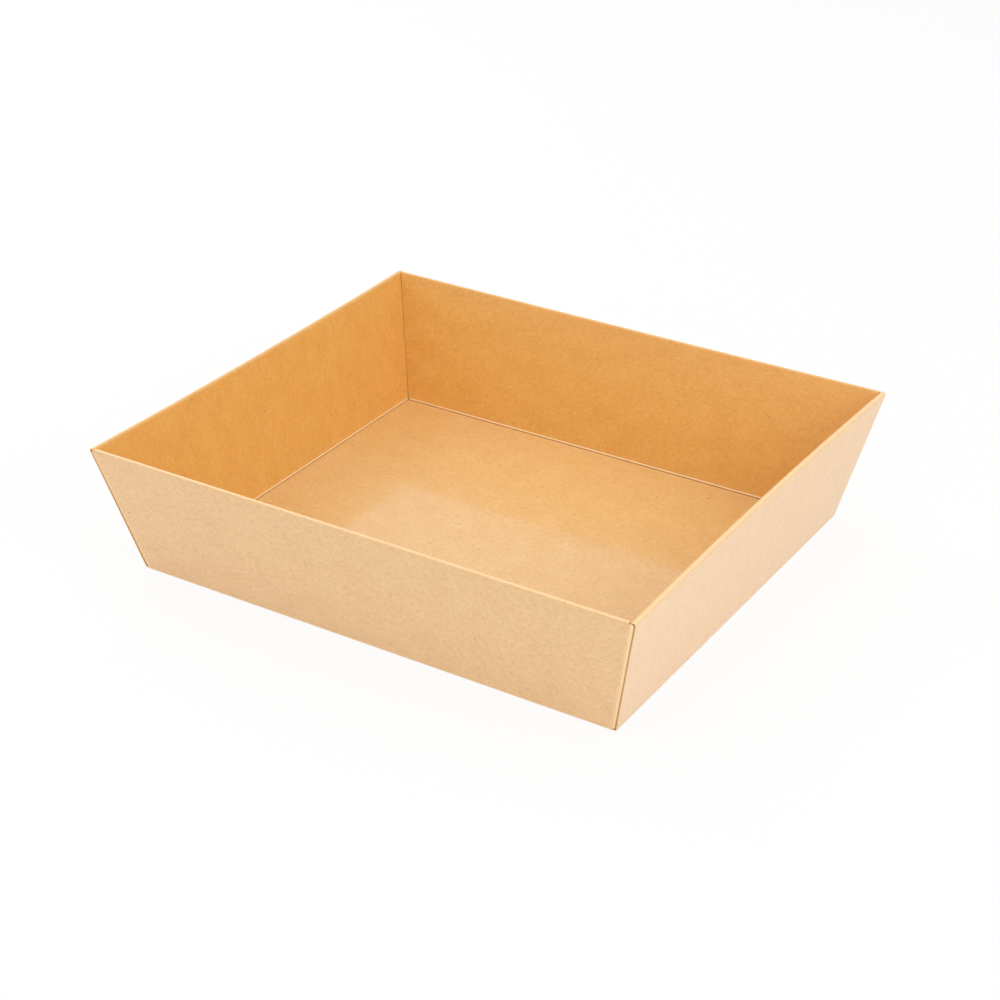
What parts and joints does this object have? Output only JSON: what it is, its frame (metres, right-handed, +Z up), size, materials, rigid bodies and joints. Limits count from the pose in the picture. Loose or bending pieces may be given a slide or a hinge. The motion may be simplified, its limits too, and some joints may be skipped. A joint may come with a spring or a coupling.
{
  "type": "cardboard tray box",
  "caption": "Shallow open-top tray box folded from kraft board, with flared double walls, rolled rims and tucked corner flaps.",
  "frame": {"origin": "underside of the floor, at its middle", "axes": "+X along the long side, +Y from the front wall to the back wall, +Z up to the open top"},
  "size_m": [0.302, 0.266, 0.07],
  "materials": {
    "kraft_board": "matte"
  },
  "bodies": {
    "root": {"folded_tray": "kraft_board"}
  },
  "joints": []
}
